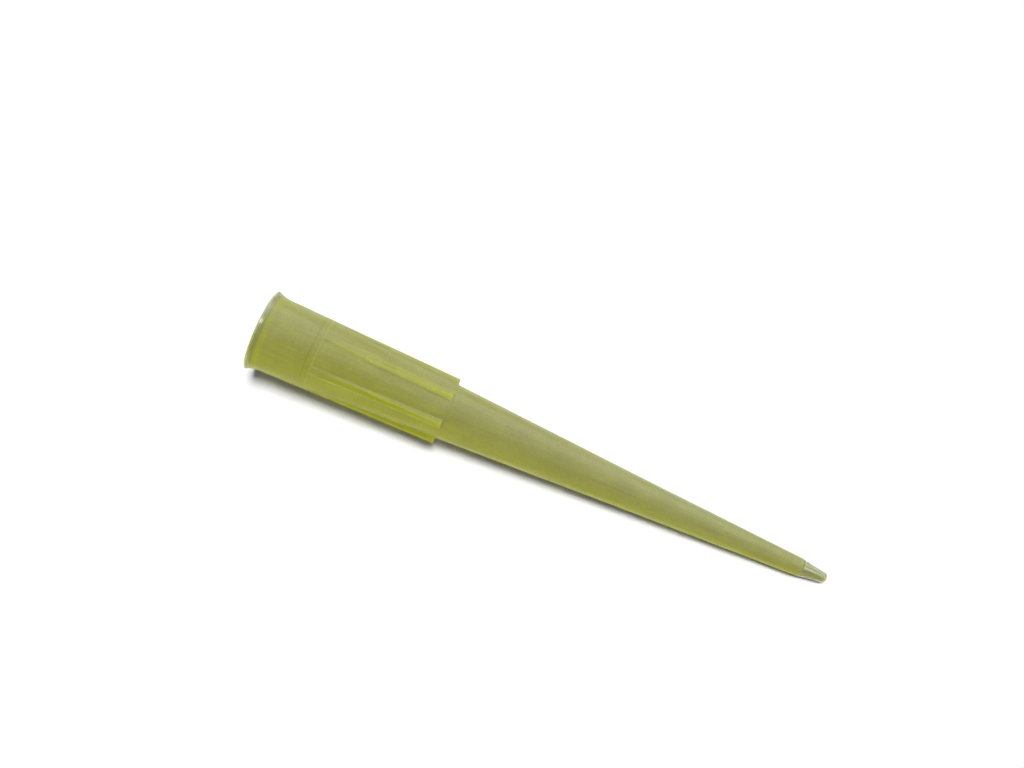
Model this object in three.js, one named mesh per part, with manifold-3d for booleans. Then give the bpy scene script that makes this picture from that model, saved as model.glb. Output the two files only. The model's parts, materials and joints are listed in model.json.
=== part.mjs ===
// Disposable pipette tip of the 200 microlitre size: one thin moulded cone, open at both ends.
// From the mouth to the outlet it has an ejector rim with a concave flare, a smooth collar,
// six ribs that end in square shoulders, a plain conical body and a short finer nose.
//
// Lengths are in millimetres. A station is a distance along the tip's own axis, measured from
// the mouth towards the outlet, and a radius is measured from that axis. The finished part
// lies on its side, as it comes to rest: +X runs from the mouth to the outlet, +Z is up, and
// the origin is the middle of the footprint on the surface.

import * as THREE from "three";
import { mergeVertices } from "three/addons/utils/BufferGeometryUtils.js";
import Module from "manifold-3d";

// Overall
const LENGTH = 51;

// Mouth rim, flare and collar
const COLLAR_RADIUS = 3.12;
const COLLAR_LENGTH = 5.12;
const COLLAR_TAPER = 0.065;
const COLLAR_STEP = 0.097;
const RIM_OVERHANG = 0.31;
const RIM_FACE_WIDTH = 0.45;
const FLARE_LENGTH = 1.3;

// Ribs: the foot keeps its width, and the crest narrows as the rib grows out of the cone
const RIB_COUNT = 6;
const RIB_END_STATION = 16.4;
const RIB_CREST_TAPER = 0.193;
const RIB_CREST_DROP = 0.01;
const RIB_FOOT_WIDTH = 0.8;
const RIB_CREST_WIDTH_AT_COLLAR = 0.58;
const RIB_CREST_WIDTH_AT_END = 0.3;

// Body, which tapers a little less past its knee, and nose
const KNEE_STATION = 34;
const KNEE_RADIUS = 1.465;
const BODY_END_RADIUS = 0.78;
const NOSE_LENGTH = 2.34;
const NOSE_STEP = 0.055;
const NOSE_STEP_LENGTH = 0.12;
const NOSE_EDGE_ROUND = 0.1;

// Walls and bore
const MOUTH_LEAD_IN = 0.65;
const COLLAR_WALL = 0.4;
const SOCKET_DEPTH = 9;
const SOCKET_END_WALL = 0.3;
const RIB_END_WALL = 0.42;
const KNEE_WALL = 0.43;
const OUTLET_WALL = 0.175;
const OUTLET_RADIUS = 0.225;

// Roundness of the mesh: the facets divide evenly between the ribs
const FACETS_PER_RIB = 16;
const FLARE_STEPS = 6;
const EDGE_STEPS = 3;

// How far a rib reaches into the wall and the collar that carry it
const RIB_BURIAL = 0.15;

const rimRadius = COLLAR_RADIUS + RIM_OVERHANG;
const collarEndRadius = COLLAR_RADIUS - COLLAR_TAPER;
const crestStartRadius = collarEndRadius - RIB_CREST_DROP;
const crestEndRadius = crestStartRadius - RIB_CREST_TAPER;
const coneStartRadius = collarEndRadius - COLLAR_STEP;
const bodyEndStation = LENGTH - NOSE_LENGTH;
const noseEndRadius = OUTLET_RADIUS + OUTLET_WALL;

// The value at a station on the straight line through two (station, value) ends.
function onLine(station, [startStation, startValue], [endStation, endValue]) {
  const share = (station - startStation) / (endStation - startStation);
  return startValue + share * (endValue - startValue);
}

// The upper cone starts a step below the collar and runs under the ribs to the knee.
function coneRadius(station) {
  return onLine(station, [COLLAR_LENGTH, coneStartRadius], [KNEE_STATION, KNEE_RADIUS]);
}

function crestRadius(station) {
  return onLine(station, [COLLAR_LENGTH, crestStartRadius], [RIB_END_STATION, crestEndRadius]);
}

// Outline points are Vector2(radius, station).
function outlinePoint(station, radius) {
  return new THREE.Vector2(radius, station);
}

// The flare is an arc that leaves the collar along the axis and widens to the rim.
function flarePoints() {
  const arcRadius = (FLARE_LENGTH ** 2 + RIM_OVERHANG ** 2) / (2 * RIM_OVERHANG);
  const sweep = Math.asin(FLARE_LENGTH / arcRadius);
  return Array.from({ length: FLARE_STEPS + 1 }, (_, step) => {
    const angle = sweep * (1 - step / FLARE_STEPS);
    const station = FLARE_LENGTH - arcRadius * Math.sin(angle);
    return outlinePoint(station, COLLAR_RADIUS + arcRadius * (1 - Math.cos(angle)));
  });
}

// The outlet's outer edge turns from the nose's side into its flat end.
function outletEdgePoints() {
  const round = Math.min(NOSE_EDGE_ROUND, OUTLET_WALL / 2);
  return Array.from({ length: EDGE_STEPS + 1 }, (_, step) => {
    const angle = (Math.PI / 2) * (step / EDGE_STEPS);
    const station = LENGTH - round + round * Math.sin(angle);
    return outlinePoint(station, noseEndRadius - round + round * Math.cos(angle));
  });
}

function outerOutline() {
  return [
    ...flarePoints(),
    outlinePoint(COLLAR_LENGTH, collarEndRadius),
    outlinePoint(COLLAR_LENGTH, coneStartRadius),
    outlinePoint(KNEE_STATION, KNEE_RADIUS),
    outlinePoint(bodyEndStation, BODY_END_RADIUS),
    outlinePoint(bodyEndStation + NOSE_STEP_LENGTH, BODY_END_RADIUS - NOSE_STEP),
    ...outletEdgePoints(),
  ];
}

// The bore, from the outlet back to the mouth: three cones, the nozzle's socket and a lead-in.
function boreOutline() {
  return [
    outlinePoint(LENGTH, OUTLET_RADIUS),
    outlinePoint(KNEE_STATION, KNEE_RADIUS - KNEE_WALL),
    outlinePoint(RIB_END_STATION, coneRadius(RIB_END_STATION) - RIB_END_WALL),
    outlinePoint(SOCKET_DEPTH, coneRadius(SOCKET_DEPTH) - SOCKET_END_WALL),
    outlinePoint(MOUTH_LEAD_IN, COLLAR_RADIUS - COLLAR_WALL),
    outlinePoint(0, rimRadius - RIM_FACE_WIDTH),
  ];
}

// The hollow cone with its axis along +X, the mouth at x = 0, and a facet corner straight up.
function shellGeometry() {
  const outline = [...outerOutline(), ...boreOutline()];
  outline.push(outline[0].clone());
  const shell = new THREE.LatheGeometry(outline, RIB_COUNT * FACETS_PER_RIB);
  return shell.rotateZ(-Math.PI / 2);
}

// One rib above the axis: a box whose corners are moved to the rib's stations, radii and widths.
function ribGeometry() {
  const start = { station: COLLAR_LENGTH - RIB_BURIAL, crestWidth: RIB_CREST_WIDTH_AT_COLLAR };
  const end = { station: RIB_END_STATION, crestWidth: RIB_CREST_WIDTH_AT_END };
  const rib = new THREE.BoxGeometry(1, 1, 1);
  const corners = rib.getAttribute("position");
  for (let index = 0; index < corners.count; index += 1) {
    const { station, crestWidth } = corners.getX(index) < 0 ? start : end;
    const isRoot = corners.getZ(index) < 0;
    const floor = coneRadius(station);
    const crest = crestRadius(station);
    const radius = isRoot ? floor - RIB_BURIAL : crest;
    const width = onLine(radius, [floor, RIB_FOOT_WIDTH], [crest, crestWidth]);
    corners.setXYZ(index, station, Math.sign(corners.getY(index)) * (width / 2), radius);
  }
  return rib;
}

const manifold = await Module();
manifold.setup();

function toSolid(geometry) {
  const bare = geometry.clone();
  bare.deleteAttribute("normal");
  bare.deleteAttribute("uv");
  const merged = mergeVertices(bare);
  return new manifold.Manifold(
    new manifold.Mesh({
      numProp: 3,
      vertProperties: new Float32Array(merged.getAttribute("position").array),
      triVerts: new Uint32Array(merged.getIndex().array),
    }),
  );
}

function toGeometry(solid) {
  const { vertProperties, triVerts } = solid.getMesh();
  const geometry = new THREE.BufferGeometry();
  geometry.setAttribute("position", new THREE.BufferAttribute(vertProperties, 3));
  geometry.setIndex(new THREE.BufferAttribute(triVerts, 1));
  geometry.computeVertexNormals();
  return geometry;
}

// The shell with its ribs. The first rib is half a pitch from the bottom, so that the middle of
// a gap faces straight down.
function tipGeometry() {
  const pitch = (2 * Math.PI) / RIB_COUNT;
  let solid = toSolid(shellGeometry());
  for (let rib = 0; rib < RIB_COUNT; rib += 1) {
    solid = solid.add(toSolid(ribGeometry().rotateX(Math.PI + (rib + 0.5) * pitch)));
  }
  return toGeometry(solid);
}

// The station of the centre of mass, from the signed cones that the faces make with the origin.
function balanceStation(geometry) {
  const positions = geometry.getAttribute("position");
  const faces = geometry.getIndex();
  const corners = [new THREE.Vector3(), new THREE.Vector3(), new THREE.Vector3()];
  const crossed = new THREE.Vector3();
  let volume = 0;
  let moment = 0;
  for (let first = 0; first < faces.count; first += 3) {
    corners.forEach((corner, turn) => corner.fromBufferAttribute(positions, faces.getX(first + turn)));
    const [a, b, c] = corners;
    const share = crossed.crossVectors(b, c).dot(a) / 6;
    volume += share;
    moment += (share * (a.x + b.x + c.x)) / 4;
  }
  return moment / volume;
}

// What can meet the surface, as [station, depth below the axis]: any corner of the outline, and
// the lower corners of the two rib ends beside the gap that faces down.
function supports() {
  const crestCornerTurn = Math.atan(RIB_CREST_WIDTH_AT_END / 2 / crestEndRadius);
  const crestCornerRadius = Math.hypot(crestEndRadius, RIB_CREST_WIDTH_AT_END / 2);
  const ribDepth = crestCornerRadius * Math.cos(Math.PI / RIB_COUNT - crestCornerTurn);
  return [
    ...outerOutline().map(({ x: radius, y: station }) => [station, radius]),
    [RIB_END_STATION, ribDepth],
  ].sort(([one], [other]) => one - other);
}

// The tip rests on the pair of supports on either side of its balance that reach lowest there.
function restTilt(balance) {
  const pairs = supports().flatMap((front, index, all) =>
    all.slice(index + 1).map((back) => [front, back]),
  );
  const [[frontStation, frontDepth], [backStation, backDepth]] = pairs
    .filter(([front, back]) => front[0] <= balance && balance < back[0])
    .reduce((lowest, pair) =>
      onLine(balance, ...pair) > onLine(balance, ...lowest) ? pair : lowest,
    );
  return Math.atan((frontDepth - backDepth) / (backStation - frontStation));
}

const geometry = tipGeometry();
const tip = new THREE.Mesh(
  geometry,
  new THREE.MeshStandardMaterial({ color: 0xa3a55c, roughness: 0.4, metalness: 0 }),
);
tip.name = "pipette_tip";
tip.rotation.y = restTilt(balanceStation(geometry));

// The group sets the tip down on the surface, centred over the origin.
const part = new THREE.Group();
part.add(tip);
part.updateMatrixWorld(true);
const box = new THREE.Box3().setFromObject(part, true);
const centre = box.getCenter(new THREE.Vector3());
part.position.set(-centre.x, -centre.y, -box.min.z);

export default part;
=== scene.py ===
"""A disposable 200 microlitre pipette tip, lying on a pale table."""

import json
import math
from collections import namedtuple
from itertools import pairwise
from statistics import fmean

import bpy
from mathutils import Euler, Matrix, Vector


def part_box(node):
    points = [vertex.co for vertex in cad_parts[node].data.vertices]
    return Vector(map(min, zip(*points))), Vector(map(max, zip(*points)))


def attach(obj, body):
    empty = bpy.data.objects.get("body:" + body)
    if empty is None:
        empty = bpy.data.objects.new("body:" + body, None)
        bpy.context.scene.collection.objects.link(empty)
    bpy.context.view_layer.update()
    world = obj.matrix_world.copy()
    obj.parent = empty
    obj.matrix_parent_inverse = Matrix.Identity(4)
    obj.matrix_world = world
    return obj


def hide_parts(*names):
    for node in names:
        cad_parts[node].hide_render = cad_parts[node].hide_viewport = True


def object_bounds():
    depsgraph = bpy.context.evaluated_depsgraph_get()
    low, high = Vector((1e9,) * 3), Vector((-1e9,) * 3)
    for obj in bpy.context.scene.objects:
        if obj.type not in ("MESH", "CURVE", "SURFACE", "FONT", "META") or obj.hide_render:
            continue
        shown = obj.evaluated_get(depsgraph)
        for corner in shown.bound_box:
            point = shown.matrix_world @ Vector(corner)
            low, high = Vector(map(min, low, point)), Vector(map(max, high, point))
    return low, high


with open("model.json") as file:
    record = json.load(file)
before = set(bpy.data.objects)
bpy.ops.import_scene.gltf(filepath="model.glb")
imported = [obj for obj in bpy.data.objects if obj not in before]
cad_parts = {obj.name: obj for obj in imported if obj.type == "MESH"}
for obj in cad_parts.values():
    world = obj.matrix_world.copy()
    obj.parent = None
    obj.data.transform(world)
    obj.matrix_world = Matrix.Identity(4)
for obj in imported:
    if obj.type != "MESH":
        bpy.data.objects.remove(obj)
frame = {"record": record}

cad_low, cad_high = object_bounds()

MM = 0.001

# ---------------------------------------------------------------- sizes
# They are in millimetres. A station is a distance from the mouth along the axis.

LENGTH = 51.0
COLLAR_RADIUS = 3.12
COLLAR_LENGTH = 5.12
COLLAR_TAPER = 0.065
COLLAR_STEP = 0.097
RIM_OVERHANG = 0.31
RIM_FACE_WIDTH = 0.45
FLARE_LENGTH = 1.3
RIB_COUNT = 6
RIB_END_STATION = 16.4
RIB_CREST_TAPER = 0.193
RIB_CREST_DROP = 0.01
RIB_FOOT_WIDTH = 0.8
RIB_CREST_WIDTHS = (0.58, 0.3)  # under the collar, and at the ribs' end
KNEE_STATION = 34.0
KNEE_RADIUS = 1.465
BODY_END_RADIUS = 0.78
NOSE_LENGTH = 2.34
NOSE_STEP = 0.055
NOSE_STEP_LENGTH = 0.12
MOUTH_LEAD_IN = 0.65
COLLAR_WALL = 0.4
SOCKET_DEPTH = 9.0
SOCKET_END_WALL = 0.3
RIB_END_WALL = 0.42
KNEE_WALL = 0.43
OUTLET_WALL = 0.175
OUTLET_RADIUS = 0.225
END_CLEARANCE = 0.001  # keeps the nose within the CAD box

# Small moulded radii that soften the edges
RIM_ROUND = 0.06
STEP_ROUND = 0.05
RIB_CREST_ROUND = 0.07
RIB_FOOT_FILLET = 0.09
RIB_END_ROUND = 0.06
RIB_END_FILLET = 0.08
END_FACE_DRAFT = 0.012  # how far an end face leans
KNEE_ROUND = 1.6
NOSE_STEP_ROUND = 0.035
NOSE_EDGE_ROUND = 0.1
OUTLET_ROUND = 0.03
BORE_ROUND = 1.0
SOCKET_ROUND = 0.5
LEAD_IN_ROUND = 0.05

# The most that a rounding takes of the edge beside it
FLANK_LIMIT = 0.45
HALF_CREST_LIMIT = 0.8
OUTLINE_LIMIT = 0.49

# Witness line of the mould round the collar, with its section in half widths and shares of depth
GROOVE_STATION = 4.56
GROOVE_WIDTH = 0.16
GROOVE_DEPTH = 0.01
GROOVE_SHAPE = ((-1, 0), (-0.6, 0.25), (-0.25, 0.9), (0.25, 0.9), (0.6, 0.25), (1, 0))

# Columns of the mesh across half a rib pitch, from the crest's middle to the gap's middle
CREST_STEPS = 2
CREST_ROUND_STEPS = 3
FLANK_STEPS = 2
FOOT_STEPS = 3
GAP_STEPS = 6
HALF_PITCH_STEPS = CREST_STEPS + CREST_ROUND_STEPS + FLANK_STEPS + FOOT_STEPS + GAP_STEPS
BODY_SETTLING = 8.0  # distance past the ribs in which the columns spread out evenly
BORE_SETTLING = 12.0  # the same inside, past the mouth

# Rows of the mesh on each stretch, and segments of each rounding
FLARE_ROWS = 10
COLLAR_ROWS = 5
RIB_ROWS = 14
CONE_ROWS = 9
BODY_ROWS = 7
NOSE_ROWS = 5
FAR_BORE_ROWS = 8
MIDDLE_BORE_ROWS = 6
CORNER_SEGMENTS = 4
STEP_SEGMENTS = 3

# Distances that rows keep from the corners
BEND_MARGIN = 2.0
EDGE_MARGIN = 0.3
RIB_END_MARGIN = 0.4
NOSE_END_MARGIN = 0.25
OUTLET_MARGIN = 1.0

rim_radius = COLLAR_RADIUS + RIM_OVERHANG
rim_inner_radius = rim_radius - RIM_FACE_WIDTH
collar_end_radius = COLLAR_RADIUS - COLLAR_TAPER
crest_start_radius = collar_end_radius - RIB_CREST_DROP
crest_end_radius = crest_start_radius - RIB_CREST_TAPER
cone_start_radius = collar_end_radius - COLLAR_STEP
body_end_station = LENGTH - NOSE_LENGTH
nose_end_radius = OUTLET_RADIUS + OUTLET_WALL


# ---------------------------------------------------------------- lines and curves


def mix(a, b, share):
    return a + (b - a) * share


def steps(start, end, count):
    """count values after start, up to end."""
    return [mix(start, end, (i + 1) / count) for i in range(count)]


def on_line(x, start, end):
    """The value at x on a line through two (x, value) points."""
    return mix(start[1], end[1], (x - start[0]) / (end[0] - start[0]))


def along_line(points, x):
    """The value at x on a line through (x, value) points in order of x."""
    for start, end in pairwise(points):
        if x <= end[0]:
            return on_line(x, start, end)
    return points[-1][1]


def bend(a, b, c, count):
    """count points after a, on a curve from a to c that leaves towards b."""
    return [a * (1 - t) ** 2 + b * (2 * t * (1 - t)) + c * t**2 for t in steps(0, 1, count)]


def rounded(points):
    """An outline of (station, radius) points, whose corners (station, radius, size) are rounded."""
    outline = []
    for i, (station, radius, *size) in enumerate(points):
        corner = Vector((station, radius))
        if not size:
            outline.append(corner)
            continue
        back = Vector(points[i - 1][:2]) - corner
        on = Vector(points[i + 1][:2]) - corner
        start = corner + back.normalized() * min(size[0], back.length * OUTLINE_LIMIT)
        end = corner + on.normalized() * min(size[0], on.length * OUTLINE_LIMIT)
        outline += [start, *bend(start, corner, end, CORNER_SEGMENTS)]
    return outline


# ---------------------------------------------------------------- radii along the tip


def collar_radius(station):
    return on_line(station, (FLARE_LENGTH, COLLAR_RADIUS), (COLLAR_LENGTH, collar_end_radius))


cone_corners = (
    (COLLAR_LENGTH, cone_start_radius),
    (KNEE_STATION, KNEE_RADIUS),
    (body_end_station, BODY_END_RADIUS),
)


def cone_radius(station):
    return along_line(cone_corners, station)


bore_corners = (
    (0, rim_inner_radius),
    (MOUTH_LEAD_IN, COLLAR_RADIUS - COLLAR_WALL),
    (SOCKET_DEPTH, cone_radius(SOCKET_DEPTH) - SOCKET_END_WALL),
    (RIB_END_STATION, cone_radius(RIB_END_STATION) - RIB_END_WALL),
    (KNEE_STATION, KNEE_RADIUS - KNEE_WALL),
    (LENGTH, OUTLET_RADIUS),
)


def bore_radius(station):
    return along_line(bore_corners, station)


def rib_share(station):
    """How far along the ribs a station is."""
    return (station - COLLAR_LENGTH) / (RIB_END_STATION - COLLAR_LENGTH)


def crest_radius(station):
    return mix(crest_start_radius, crest_end_radius, rib_share(station))


def rib_height(station):
    if not COLLAR_LENGTH <= station < RIB_END_STATION + END_FACE_DRAFT:
        return 0.0
    return crest_radius(station) - cone_radius(station)


# ---------------------------------------------------------------- cross sections
# Each is half a rib pitch of (angle, radius) points, from a crest's middle to a gap's middle.


def rib_section(station):
    cone = cone_radius(station)
    half_crest = mix(*RIB_CREST_WIDTHS, rib_share(station)) / 2
    corner = Vector((half_crest, crest_radius(station)))
    down = (Vector((RIB_FOOT_WIDTH / 2, cone)) - corner).normalized()
    # where the flank, carried on, meets the cone
    inward = -corner.dot(down)
    reach = inward - math.sqrt(inward**2 - corner.dot(corner) + cone**2)
    foot = corner + down * reach
    crest_round = min(RIB_CREST_ROUND, FLANK_LIMIT * reach, HALF_CREST_LIMIT * corner.x)
    fillet = min(RIB_FOOT_FILLET, FLANK_LIMIT * reach)
    gap_start = math.atan2(foot.x, foot.y) + fillet / cone
    gap_point = Vector((cone * math.sin(gap_start), cone * math.cos(gap_start)))

    middle = Vector((0, corner.y))
    crest_edge = corner - Vector((crest_round, 0))
    flank_top = corner + down * crest_round
    flank_foot = foot - down * fillet
    points = [middle]
    points += [middle.lerp(crest_edge, share) for share in steps(0, 1, CREST_STEPS)]
    points += bend(crest_edge, corner, flank_top, CREST_ROUND_STEPS)
    points += [flank_top.lerp(flank_foot, share) for share in steps(0, 1, FLANK_STEPS)]
    points += bend(flank_foot, foot, gap_point, FOOT_STEPS)
    gap = [(angle, cone) for angle in steps(gap_start, math.pi / RIB_COUNT, GAP_STEPS)]
    return [(math.atan2(p.x, p.y), p.length) for p in points] + gap


def cone_section(station):
    """The round body, on the columns of the ribs."""
    return [(angle, cone_radius(station)) for angle, _ in rib_section(station)]


def collar_section(station):
    """The round collar, on the columns of the ribs under it."""
    ribs = rib_section(max(station, COLLAR_LENGTH))
    return [(angle, collar_radius(station)) for angle, _ in ribs]


def section_under_collar(station):
    ribs = rib_section(max(station, COLLAR_LENGTH))
    return [(angle, min(radius, collar_radius(station))) for angle, radius in ribs]


start_angles = [angle for angle, _ in rib_section(COLLAR_LENGTH)]
end_angles = [angle for angle, _ in rib_section(RIB_END_STATION)]
even_angles = [0, *steps(0, math.pi / RIB_COUNT, HALF_PITCH_STEPS)]


def settled(angles, share):
    """The angles of columns, spread evenly by a share from 0 to 1."""
    share = min(1, max(0, share))
    return [mix(angle, even, share) for angle, even in zip(angles, even_angles)]


# ---------------------------------------------------------------- rows of the mesh
# Each is a station and the (angle, radius) points once round it.


def section_row(station, section):
    """A row from half a pitch, mirrored and repeated round the axis."""
    turn = []
    for rib in range(RIB_COUNT):
        centre = (rib + 0.5) * 2 * math.pi / RIB_COUNT
        turn += [(centre - angle, radius) for angle, radius in reversed(section[1:])]
        turn += [(centre + angle, radius) for angle, radius in section[:-1]]
    return station, turn


def ring(station, radius, angles):
    """A round row, with its columns at the angles of half a pitch."""
    return section_row(station, [(angle, radius) for angle in angles])


def step_rows(station, top, bottom, edge, fillet):
    """Rows down a step from top(s) to bottom(s), over a rounded edge, its face and a fillet."""

    def on_edge(turn):
        return lambda high, low, height: high - min(edge, height / 2) * (1 - math.cos(turn))

    def on_fillet(turn):
        return lambda high, low, height: low + min(fillet, height / 2) * (1 - math.sin(turn))

    def mid_face(high, low, height):
        return high - mix(min(edge, height / 2), height - min(fillet, height / 2), 0.5)

    places = [
        (station - edge + edge * math.sin(turn), on_edge(turn))
        for turn in steps(0, math.pi / 2, STEP_SEGMENTS)
    ]
    places.append((station + END_FACE_DRAFT / 2, mid_face))
    places += [
        (station + END_FACE_DRAFT + fillet * (1 - math.cos(turn)), on_fillet(turn))
        for turn in [0, *steps(0, math.pi / 2, STEP_SEGMENTS)]
    ]
    rows = []
    for s, radius_at in places:
        section = [
            (angle, radius_at(high, low, max(0.0, high - low)))
            for (angle, high), (_, low) in zip(top(s), bottom(s))
        ]
        rows.append(section_row(s, section))
    return rows


def flare_points():
    """Points after the rim's edge, on an arc that runs out along the collar."""
    arc = (FLARE_LENGTH**2 + RIM_OVERHANG**2) / (2 * RIM_OVERHANG)
    return [
        (FLARE_LENGTH - arc * math.sin(turn), COLLAR_RADIUS + arc * (1 - math.cos(turn)))
        for turn in steps(math.asin(FLARE_LENGTH / arc), 0, FLARE_ROWS)
    ]


def rim_and_collar_rows():
    """Rows round the lip, along the flare and the collar, with the groove."""
    # the first point only guides the rounding after it
    lip = rounded(
        [
            bore_corners[1],
            (0, rim_inner_radius, RIM_ROUND),
            (0, rim_radius, RIM_ROUND),
            *flare_points(),
        ]
    )[1:]
    plain = steps(FLARE_LENGTH, GROOVE_STATION - EDGE_MARGIN, COLLAR_ROWS)
    stations = [(station, 0) for station in plain]
    stations += [(GROOVE_STATION + x * GROOVE_WIDTH / 2, depth) for x, depth in GROOVE_SHAPE]
    stations.append((COLLAR_LENGTH - STEP_ROUND, 0))
    collar = [(s, collar_radius(s) - depth * GROOVE_DEPTH) for s, depth in stations]
    return [ring(station, radius, start_angles) for station, radius in [*lip, *collar]]


def rib_rows():
    """Rows down the step under the collar, along the ribs and down their ends."""
    step_end = COLLAR_LENGTH + END_FACE_DRAFT + STEP_ROUND
    ribs = steps(step_end, RIB_END_STATION - RIB_END_ROUND, RIB_ROWS)
    return [
        *step_rows(COLLAR_LENGTH, collar_section, section_under_collar, STEP_ROUND, STEP_ROUND),
        *[section_row(station, rib_section(station)) for station in ribs],
        *step_rows(RIB_END_STATION, rib_section, cone_section, RIB_END_ROUND, RIB_END_FILLET),
    ]


def body_rows():
    """Rows along the body and the nose, and over the nose's end into the outlet."""
    step_end = (body_end_station + NOSE_STEP_LENGTH, BODY_END_RADIUS - NOSE_STEP)
    nose_end = (LENGTH, nose_end_radius)
    cone = steps(RIB_END_STATION + RIB_END_MARGIN, KNEE_STATION - BEND_MARGIN, CONE_ROWS)
    body = steps(KNEE_STATION + BEND_MARGIN, body_end_station - EDGE_MARGIN, BODY_ROWS)
    nose = steps(body_end_station + EDGE_MARGIN, LENGTH - NOSE_END_MARGIN, NOSE_ROWS)
    # the last point only guides the rounding before it
    outline = rounded(
        [
            *[(s, cone_radius(s)) for s in cone],
            (KNEE_STATION, KNEE_RADIUS, KNEE_ROUND),
            *[(s, cone_radius(s)) for s in body],
            (body_end_station, BODY_END_RADIUS, NOSE_STEP_ROUND),
            (*step_end, NOSE_STEP_ROUND),
            *[(s, on_line(s, step_end, nose_end)) for s in nose],
            (*nose_end, NOSE_EDGE_ROUND),
            (LENGTH, OUTLET_RADIUS, OUTLET_ROUND),
            (LENGTH - EDGE_MARGIN, bore_radius(LENGTH - EDGE_MARGIN)),
        ]
    )[:-1]
    return [
        ring(s, radius, settled(end_angles, (s - RIB_END_STATION) / BODY_SETTLING))
        for s, radius in outline
    ]


def bore_rows():
    """Rows along the bore, from the outlet back to the mouth."""

    def points(*stations):
        return [(s, bore_radius(s)) for s in stations]

    def corner(station, size):
        return (station, bore_radius(station), size)

    far = steps(LENGTH - OUTLET_MARGIN, KNEE_STATION + BEND_MARGIN, FAR_BORE_ROWS)
    middle = steps(KNEE_STATION - BEND_MARGIN, RIB_END_STATION + BEND_MARGIN, MIDDLE_BORE_ROWS)
    outline = rounded(
        [
            *points(LENGTH - EDGE_MARGIN, *far),
            corner(KNEE_STATION, BORE_ROUND),
            *points(*middle),
            corner(RIB_END_STATION, BORE_ROUND),
            corner(SOCKET_DEPTH, SOCKET_ROUND),
            *points(MOUTH_LEAD_IN + BEND_MARGIN),
            corner(MOUTH_LEAD_IN, LEAD_IN_ROUND),
            *points(EDGE_MARGIN),
        ]
    )
    return [ring(s, radius, settled(start_angles, s / BORE_SETTLING)) for s, radius in outline]


# ---------------------------------------------------------------- shares that colour the mesh, with painted light and shade

# How much painted glow a rib carries, where light would gather, and how much painted shading
# deepens its colour. The ribs are numbered going round, and each has a share for its crest,
# then (its side, the gap beside it) before and after the crest.
RIB_PAINTED_GLOW = {0: (0.0, (0.7, 0.15), (0.0, 0.0)), 5: (0.12, (0.5, 0.22), (0.25, 0.25))}
OTHER_PAINTED_GLOW = (0.0, (0.1, 0.03), (0.1, 0.03))
RIB_PAINTED_SHADING = {5: (0.75, (0.6, 0.0), (1.0, 0.35))}
OTHER_PAINTED_SHADING = (0.0, (0.0, 0.0), (0.0, 0.0))
FULL_HEIGHT = 0.25  # height at which a rib has its whole share
PAINTED_SHADING_FROM = 0.3  # sine of the angle at which the painted shading begins


def column_shares(by_rib, otherwise):
    """A share for each column of a row, from the shares of each rib."""
    shares = []
    for rib in range(RIB_COUNT):
        crest, *flanks = by_rib.get(rib, otherwise)
        halves = []
        for side, gap in flanks:
            half = [crest] * (CREST_STEPS + 1)
            half += steps(crest, side, CREST_ROUND_STEPS)
            half += [side] * FLANK_STEPS
            half += steps(side, gap, FOOT_STEPS)
            half += [gap * (1 - i / GAP_STEPS) for i in range(GAP_STEPS)]
            halves.append(half)
        before, after = halves
        shares += before[:0:-1] + after[:-1]
    return shares


def painted_side_shading(angle):
    """How much painted shading deepens the colour, growing round the side away from the back lamps.
    """
    share = min(1.0, max(0.0, (-math.sin(angle) - PAINTED_SHADING_FROM) / (1 - PAINTED_SHADING_FROM)))
    return share * share * (3 - 2 * share)


def outer_shares(rows):
    """The wall in millimetres, the painted glow and the painted shading at each vertex of the
    outside.
    """
    painted_glows = column_shares(RIB_PAINTED_GLOW, OTHER_PAINTED_GLOW)
    painted_shadings = column_shares(RIB_PAINTED_SHADING, OTHER_PAINTED_SHADING)
    shares = []
    # the glow and depth shares are painted light and painted shading
    for station, turn in rows:
        grown = min(1.0, rib_height(station) / FULL_HEIGHT)
        for (angle, radius), glow, depth in zip(turn, painted_glows, painted_shadings):
            wall = max(0.0, radius - bore_radius(station))
            shares.append((wall, glow * grown, max(painted_side_shading(angle), depth * grown)))
    return shares


def inner_shares(rows, outer_rows):
    """The same inside, where the ribs give no painted glow and no painted shading."""
    outside = sorted((station, fmean(radius for _, radius in turn)) for station, turn in outer_rows)
    shares = []
    for station, turn in rows:
        for angle, radius in turn:
            wall = max(0.0, along_line(outside, station) - radius)
            shares.append((wall, 0.0, painted_side_shading(angle)))
    return shares


# ---------------------------------------------------------------- the mesh


def placement():
    """Turns the tip and moves it, in metres, to where the frame has it."""
    rim_mount = next(m for m in frame["record"]["mounts"] if m["name"] == "mouth_rim")
    axis = -Vector(rim_mount["axis"]).normalized()
    tilt = math.asin(-axis.z)
    low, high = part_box("pipette_tip")
    rim_half = high.y  # the rim is the widest part
    mouth = Vector(
        (
            low.x + rim_half * math.sin(tilt) - END_CLEARANCE * MM,
            0,
            high.z - rim_half * math.cos(tilt),
        )
    )
    return Matrix.Translation(mouth) @ Matrix.Rotation(tilt, 4, "Y")


def lathe_faces(row_count, columns):
    """Faces between each row and the next, with the last row joined to the first."""
    faces = []
    for row in range(row_count):
        this, following = row * columns, (row + 1) % row_count * columns
        for column in range(columns):
            on = (column + 1) % columns
            faces.append((this + column, following + column, following + on, this + on))
    return faces


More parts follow.
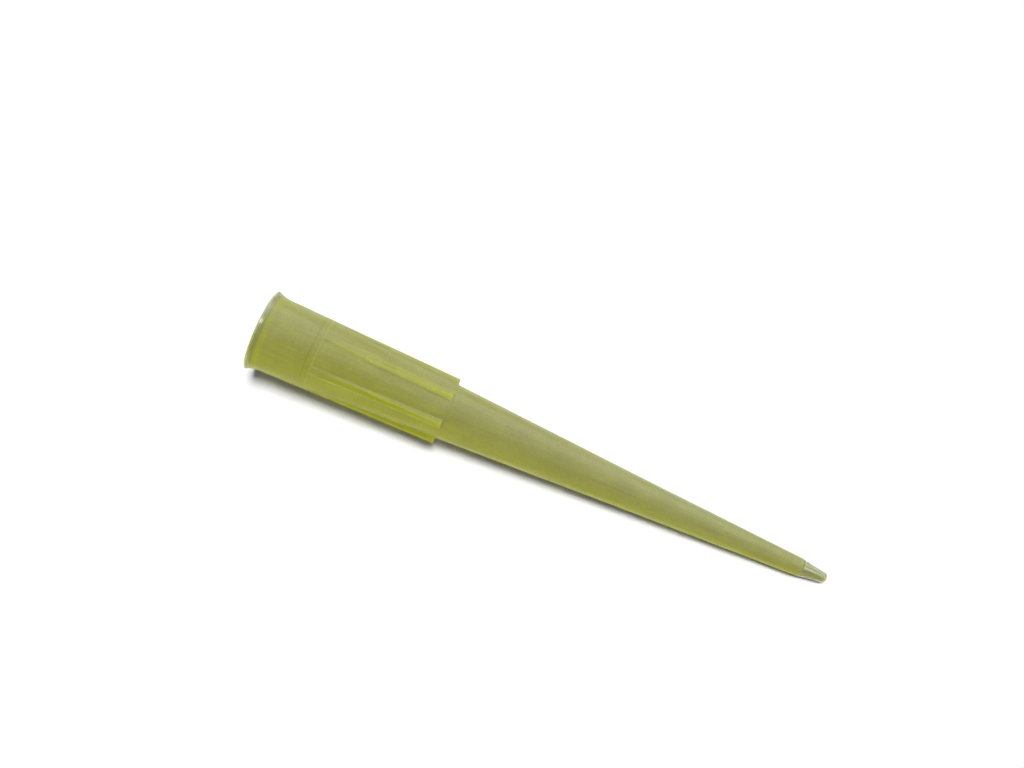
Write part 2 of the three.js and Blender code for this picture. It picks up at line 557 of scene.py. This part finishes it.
def tip_mesh():
    outside = rim_and_collar_rows() + rib_rows() + body_rows()
    inside = bore_rows()
    rows = outside + inside
    on_tip = [
        Vector((station, radius * math.sin(angle), radius * math.cos(angle)))
        for station, turn in rows
        for angle, radius in turn
    ]
    placed = placement()
    mesh = bpy.data.meshes.new("pipette_tip_moulding")
    faces = lathe_faces(len(rows), len(rows[0][1]))
    mesh.from_pydata([placed @ (v * MM) for v in on_tip], [], faces)
    mesh.validate()
    shares = zip(*outer_shares(outside), *inner_shares(inside, outside))
    for name, values in zip(("wall", "glow", "deep"), shares):
        mesh.attributes.new(name, "FLOAT", "POINT").data.foreach_set("value", values)
    vectors = mesh.attributes.new("on_tip", "FLOAT_VECTOR", "POINT")
    vectors.data.foreach_set("vector", [number for v in on_tip for number in v])
    mesh.shade_smooth()
    mesh.update()
    return mesh


# ---------------------------------------------------------------- nodes

MIX_SHARE, MIX_A, MIX_B, MIX_RESULT = 0, 6, 7, 2  # the sockets of a Mix node that mixes colours


class Nodes:
    """The nodes of a material or a world, with short ways to make and join them."""

    def __init__(self, owner):
        owner.use_nodes = True
        self.tree = owner.node_tree
        self.tree.nodes.clear()

    def feed(self, socket, value):
        """Sets a socket to a number or a tuple, or joins it to a node or an output."""
        if isinstance(value, (int, float)):
            socket.default_value = value
        elif isinstance(value, tuple):
            is_colour = socket.type == "RGBA"
            socket.default_value = (*value, 1) if is_colour else value
        else:
            source = value.outputs[0] if hasattr(value, "outputs") else value
            self.tree.links.new(source, socket)

    def new(self, kind, inputs=None):
        """A node of a kind, with values or sources for its named inputs."""
        node = self.tree.nodes.new("ShaderNode" + kind)
        for name, value in (inputs or {}).items():
            self.feed(node.inputs[name], value)
        return node

    def attribute(self, name, output="Fac"):
        node = self.new("Attribute")
        node.attribute_name = name
        return node.outputs[output]

    def spread(self, source, old, new=(0, 1)):
        """A number taken from one range to another, and held within it."""
        names = ("From Min", "From Max", "To Min", "To Max")
        return self.new("MapRange", {"Value": source, **dict(zip(names, (*old, *new)))})

    def ramp(self, source, stops):
        """A number or a colour that eases between (position, value) stops."""
        node = self.new("ValToRGB", {"Fac": source})
        node.color_ramp.interpolation = "EASE"
        elements = node.color_ramp.elements
        while len(elements) < len(stops):
            elements.new(0.5)
        for element, (position, value) in zip(elements, stops):
            element.position = position
            element.color = (*value, 1) if isinstance(value, tuple) else (value, value, value, 1)
        return node

    def band(self, station, centre, stops):
        """A share that eases between (millimetres from the centre, share) stops."""
        first, last = stops[0][0], stops[-1][0]
        place = self.spread(station, (centre + first, centre + last))
        return self.ramp(place, [((x - first) / (last - first), share) for x, share in stops])

    def noise(self, place, along, across, detail):
        """Soft noise with so many features a millimetre along and across the tip."""
        mapping = self.new("Mapping", {"Vector": place, "Scale": (along, across, across)})
        return self.new("TexNoise", {"Vector": mapping, "Scale": 1.0, "Detail": detail})

    def math(self, operation, *values):
        node = self.new("Math")
        node.operation = operation
        for socket, value in zip(node.inputs, values):
            self.feed(socket, value)
        return node

    def mix(self, share, a, b, blend="MIX"):
        node = self.new("Mix")
        node.data_type = "RGBA"
        node.blend_type = blend
        for index, value in ((MIX_SHARE, share), (MIX_A, a), (MIX_B, b)):
            self.feed(node.inputs[index], value)
        return node.outputs[MIX_RESULT]

    def mix_shaders(self, share, unseen, seen):
        node = self.new("MixShader")
        for socket, value in zip(node.inputs, (share, unseen, seen)):
            self.feed(socket, value)
        return node

    def seen_directly(self, path):
        """1 for camera, glossy and transmission rays."""
        either = self.math("MAXIMUM", path.outputs["Is Camera Ray"], path.outputs["Is Glossy Ray"])
        return self.math("MAXIMUM", either, path.outputs["Is Transmission Ray"])


# ---------------------------------------------------------------- plastic

# Colour of the resin by the thickness of the wall in millimetres
WALL_COLOURS = (
    (0.28, (0.473, 0.485, 0.094)),
    (0.42, (0.476, 0.49, 0.133)),
    (0.62, (0.44, 0.46, 0.052)),
)
BODY_COLOUR = (0.473, 0.486, 0.176)
# painted light: the glow in the sides of ribs
PAINTED_GLOW_COLOUR = (0.74, 0.78, 0.27)
RIM_COLOUR = (0.33, 0.35, 0.14)
LIP_COLOUR = (0.50, 0.52, 0.26)
LIP_RING_COLOUR = (0.50, 0.53, 0.06)
# painted shading, which tints the side away from the back lamps deeper
PAINTED_SHADING_TINT = (0.94, 0.96, 0.38)
NOSE_COLOUR = (0.45, 0.48, 0.235)
# painted shade on the step before the nose
SHOULDER_PAINTED_SHADE = (0.33, 0.35, 0.10)
# painted shade in the groove
GROOVE_PAINTED_SHADE = (0.42, 0.44, 0.06)
# painted highlight on the step under the collar
STEP_PAINTED_HIGHLIGHT = (0.58, 0.60, 0.13)

# Bands round the tip, as shares at millimetres past the mouth
FLARE_BAND = ((0.4, 1.0), (0.84, 0.3), (1.8, 0.0))
LIP_BAND = ((0.08, 1.0), (0.2, 0.0))
LIP_RING_BAND = ((0.4, 0.0), (0.6, 0.6), (0.76, 0.6), (1.12, 0.0))
POLISHED_LIP_BAND = ((0.2, 1.0), (0.6, 0.0))
# past the end of the body
NOSE_BAND = ((0.1, 0.0), (0.18, 1.0))
# where the step before the nose gets painted shade
SHOULDER_SHADE_BAND = ((-0.03, 0.0), (0.0, 0.9), (0.1, 0.9), (0.18, 0.0))
# past the groove, for its painted shade, and past the fainter step under the collar, for its
# painted highlight
GROOVE_SHADE_BAND = ((-0.12, 0.0), (-0.03, 0.8), (0.03, 0.8), (0.12, 0.0))
STEP_HIGHLIGHT_BAND = ((-0.12, 0.0), (-0.03, 0.36), (0.03, 0.36), (0.12, 0.0))

# The plastic turns paler on the way from before the ribs' end to before the nose
PALER_BEFORE_RIB_END = 6.0
PALEST_BEFORE_NOSE = 10.0

# Unevenness of the resin, as features a millimetre along and across, and detail
STREAKS = (0.12, 1.6, 3)
CLOUDS = (0.55, 0.55, 4)
DRAWN_LINES = (0.2, 5.0, 2)
GRAIN = (7.0, 7.0, 3)
TEXTURE = (9.0, 9.0, 3)
NOISE_RANGE = (0.3, 0.7)  # where most of the noise lies

# Darkest and palest tone of each one that tints the resin
STREAK_TONES = (0.96, 1.03)
CLOUD_TONES = (0.95, 1.04)
DRAWN_TONES = (0.96, 1.04)
GRAIN_TONES = (0.92, 1.08)

REFRACTIVE_INDEX = 1.49
SHINE = 0.19  # level of the reflections, where 0.5 is what that index gives
SCATTER_DISTANCE = 1.2 * MM
SCATTER_BY_COLOUR = (1.0, 1.0, 0.35)  # shares of that distance for red, green and blue
FROSTED = 0.42  # roughness
FROST_VARIES = 0.04
POLISHED = 0.25  # roughness under the coat
COAT = 0.6
COAT_ROUGHNESS = 0.07
CLEARNESS = 0.3
NOSE_CLEARNESS = 0.45
BUMP_DISTANCE = 0.01 * MM
BUMP_STRENGTH = 0.35
POLISHED_BUMP = 0.05


def resin_colour(nodes, station, nose):
    """Colour by the depth of plastic, then that of each feature over it, with painted light and
    shade.
    """
    paler_at = RIB_END_STATION - PALER_BEFORE_RIB_END
    palest_at = body_end_station - PALEST_BEFORE_NOSE
    colour = nodes.ramp(nodes.attribute("wall"), WALL_COLOURS)
    for share, layer in (
        (nodes.spread(station, (paler_at, palest_at)), BODY_COLOUR),
        # painted light: a glow in the sides of ribs
        (nodes.attribute("glow"), PAINTED_GLOW_COLOUR),
        (nodes.band(station, 0, FLARE_BAND), RIM_COLOUR),
        (nodes.band(station, 0, LIP_BAND), LIP_COLOUR),
        (nodes.band(station, 0, LIP_RING_BAND), LIP_RING_COLOUR),
    ):
        colour = nodes.mix(share, colour, layer)
    # painted shading: the side away from the back lamps, and parts of one rib, are tinted deeper
    colour = nodes.mix(nodes.attribute("deep"), colour, PAINTED_SHADING_TINT, "MULTIPLY")
    for share, layer in (
        (nose, NOSE_COLOUR),
        # painted shade on the step before the nose
        (nodes.band(station, body_end_station, SHOULDER_SHADE_BAND), SHOULDER_PAINTED_SHADE),
        # painted shade in the groove
        (nodes.band(station, GROOVE_STATION, GROOVE_SHADE_BAND), GROOVE_PAINTED_SHADE),
        # painted highlight on the step under the collar
        (nodes.band(station, COLLAR_LENGTH, STEP_HIGHLIGHT_BAND), STEP_PAINTED_HIGHLIGHT),
    ):
        colour = nodes.mix(share, colour, layer)
    return colour


def plastic_material():
    """Frosted polypropylene, polished on the lip and the nose."""
    material = bpy.data.materials.new("frosted_polypropylene")
    nodes = Nodes(material)
    place = nodes.attribute("on_tip", "Vector")
    station = nodes.new("SeparateXYZ", {"Vector": place}).outputs["X"]
    clouds = nodes.noise(place, *CLOUDS)
    drawn_lines = nodes.noise(place, *DRAWN_LINES)
    nose = nodes.band(station, body_end_station, NOSE_BAND)
    polish = nodes.math("MAXIMUM", nodes.band(station, 0, POLISHED_LIP_BAND), nose)

    colour = resin_colour(nodes, station, nose)
    tone = nodes.spread(clouds, NOISE_RANGE, CLOUD_TONES)
    for pattern, tones in (
        (nodes.noise(place, *STREAKS), STREAK_TONES),
        (drawn_lines, DRAWN_TONES),
        (nodes.noise(place, *GRAIN), GRAIN_TONES),
    ):
        tone = nodes.math("MULTIPLY", tone, nodes.spread(pattern, NOISE_RANGE, tones))

    frost = nodes.spread(clouds, NOISE_RANGE, (FROSTED - FROST_VARIES, FROSTED + FROST_VARIES))
    smoothing = nodes.math("MULTIPLY", polish, FROSTED - POLISHED)
    relief = nodes.math("ADD", nodes.noise(place, *TEXTURE), drawn_lines)
    strength = nodes.spread(polish, (0, 1), (BUMP_STRENGTH, POLISHED_BUMP))
    bump = {"Distance": BUMP_DISTANCE, "Strength": strength, "Height": relief}
    plastic = nodes.new(
        "BsdfPrincipled",
        {
            "Base Color": nodes.mix(1.0, colour, tone, "MULTIPLY"),
            "IOR": REFRACTIVE_INDEX,
            "Specular IOR Level": SHINE,
            "Subsurface Weight": 1.0,
            "Subsurface Radius": SCATTER_BY_COLOUR,
            "Subsurface Scale": SCATTER_DISTANCE,
            "Roughness": nodes.math("SUBTRACT", frost, smoothing),
            "Coat Weight": nodes.math("MULTIPLY", polish, COAT),
            "Coat Roughness": COAT_ROUGHNESS,
            "Transmission Weight": nodes.spread(nose, (0, 1), (CLEARNESS, NOSE_CLEARNESS)),
            "Normal": nodes.new("Bump", bump),
        },
    )
    nodes.new("OutputMaterial", {"Surface": plastic})
    return material


# ---------------------------------------------------------------- the tip


def add_object(name, data):
    made = bpy.data.objects.new(name, data)
    bpy.context.scene.collection.objects.link(made)
    return made


tip = add_object("pipette_tip_moulding", tip_mesh())
tip.data.materials.append(plastic_material())
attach(tip, "root")
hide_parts("pipette_tip")

# ---------------------------------------------------------------- table

TABLE_HALF = 1.5  # metres
TABLE_COLOUR = (0.8, 0.8, 0.8)
WHITE = (1.0, 1.0, 1.0)


def table_material():
    """White as it is seen, and pale grey for the light that it throws back."""
    material = bpy.data.materials.new("white_table")
    nodes = Nodes(material)
    seen = nodes.new("BsdfDiffuse", {"Color": WHITE})
    unseen = nodes.new("BsdfDiffuse", {"Color": TABLE_COLOUR})
    directly = nodes.seen_directly(nodes.new("LightPath"))
    nodes.new("OutputMaterial", {"Surface": nodes.mix_shaders(directly, unseen, seen)})
    return material


def table_mesh():
    mesh = bpy.data.meshes.new("table_top")
    corners = ((-1, -1), (1, -1), (1, 1), (-1, 1))
    vertices = [(x * TABLE_HALF, y * TABLE_HALF, cad_low.z) for x, y in corners]
    mesh.from_pydata(vertices, [], [(0, 1, 2, 3)])
    mesh.materials.append(table_material())
    return mesh


table_top = add_object("table_top", table_mesh())

# ---------------------------------------------------------------- lamps

# Each has its tilt from overhead, compass direction and width in degrees, its strength and
# colour, the one thing that it lights, if not all, and whether it adds diffuse and glossy light.
Lamp = namedtuple("Lamp", "name tilt compass width strength colour lights diffuse glossy")
WARM = (1.0, 0.98, 0.45)
LAMPS = (
    Lamp("key", 14, 90, 18, 0.94, WHITE, None, True, False),
    Lamp("table_light", 14, 90, 18, 2.12, WHITE, table_top, True, True),
    Lamp("back_light", 76, 90, 70, 1.74, WHITE, tip, True, True),
    Lamp("front_light", 66, -90, 60, 1.54, WARM, tip, True, False),
    Lamp("end_light", 70, 0, 60, 1.08, WHITE, tip, True, True),
    Lamp("sheen_light", 74, 90, 80, 2.3, WHITE, tip, False, True),
    Lamp("spark", 43, 27, 12, 0.45, WHITE, tip, False, True),
)


def collection_of(thing):
    """A collection outside the scene, which names what a lamp lights."""
    collection = bpy.data.collections.new("lit_" + thing.name)
    collection.objects.link(thing)
    return collection


def add_lamp(lamp, lit):
    data = bpy.data.lights.new(lamp.name, "SUN")
    data.energy = lamp.strength
    data.angle = math.radians(lamp.width)
    data.color = lamp.colour
    made = add_object(lamp.name, data)
    made.rotation_euler = Euler((0, math.radians(lamp.tilt), math.radians(lamp.compass)), "XYZ")
    made.visible_diffuse = lamp.diffuse
    made.visible_glossy = lamp.glossy
    if lamp.lights:
        made.light_linking.receiver_collection = lit[lamp.lights.name]


lit = {thing.name: collection_of(thing) for thing in (tip, table_top)}
for lamp in LAMPS:
    add_lamp(lamp, lit)

# ---------------------------------------------------------------- studio

FILL_STRENGTH = 0.085
FILL_COLOUR = (1.0, 0.9, 1.35)
DIM_WALL = 0.05
DIM_TO_WHITE = (-0.5, 0.3)  # across the room, from the front wall at -1 to the back wall at 1


def studio_world():
    """A faint fill for the shading, and a white room whose front wall is dim in reflections."""
    world = bpy.data.worlds.new("studio")
    nodes = Nodes(world)
    fill = nodes.new("Background", {"Strength": FILL_STRENGTH, "Color": FILL_COLOUR})
    path = nodes.new("LightPath")
    direction = nodes.new("TexCoord").outputs["Generated"]
    across = nodes.new("SeparateXYZ", {"Vector": direction}).outputs["Y"]
    walls = nodes.spread(across, DIM_TO_WHITE, (DIM_WALL, 1.0))
    level = nodes.math("MAXIMUM", walls, path.outputs["Is Camera Ray"])
    room = nodes.new("Background", {"Strength": 1.0, "Color": level})
    shown = nodes.mix_shaders(nodes.seen_directly(path), fill, room)
    nodes.new("OutputWorld", {"Surface": shown})
    return world


bpy.context.scene.world = studio_world()

# ---------------------------------------------------------------- camera

CAMERA_AT = (-4.48, -2.87, 94.85)  # millimetres
CAMERA_TURN = (4.15, -1.48, 23.69)  # degrees
CAMERA_LENS = 39.45
CAMERA_SENSOR = 36
CAMERA_NEAREST = 0.01  # metres


def add_camera():
    data = bpy.data.cameras.new("camera")
    data.sensor_width = CAMERA_SENSOR
    data.lens = CAMERA_LENS
    data.clip_start = CAMERA_NEAREST
    camera = add_object("camera", data)
    camera.location = Vector(CAMERA_AT) * MM
    camera.rotation_euler = Euler([math.radians(turn) for turn in CAMERA_TURN])
    return camera


bpy.context.scene.camera = add_camera()
bpy.context.scene.view_settings.view_transform = "Standard"
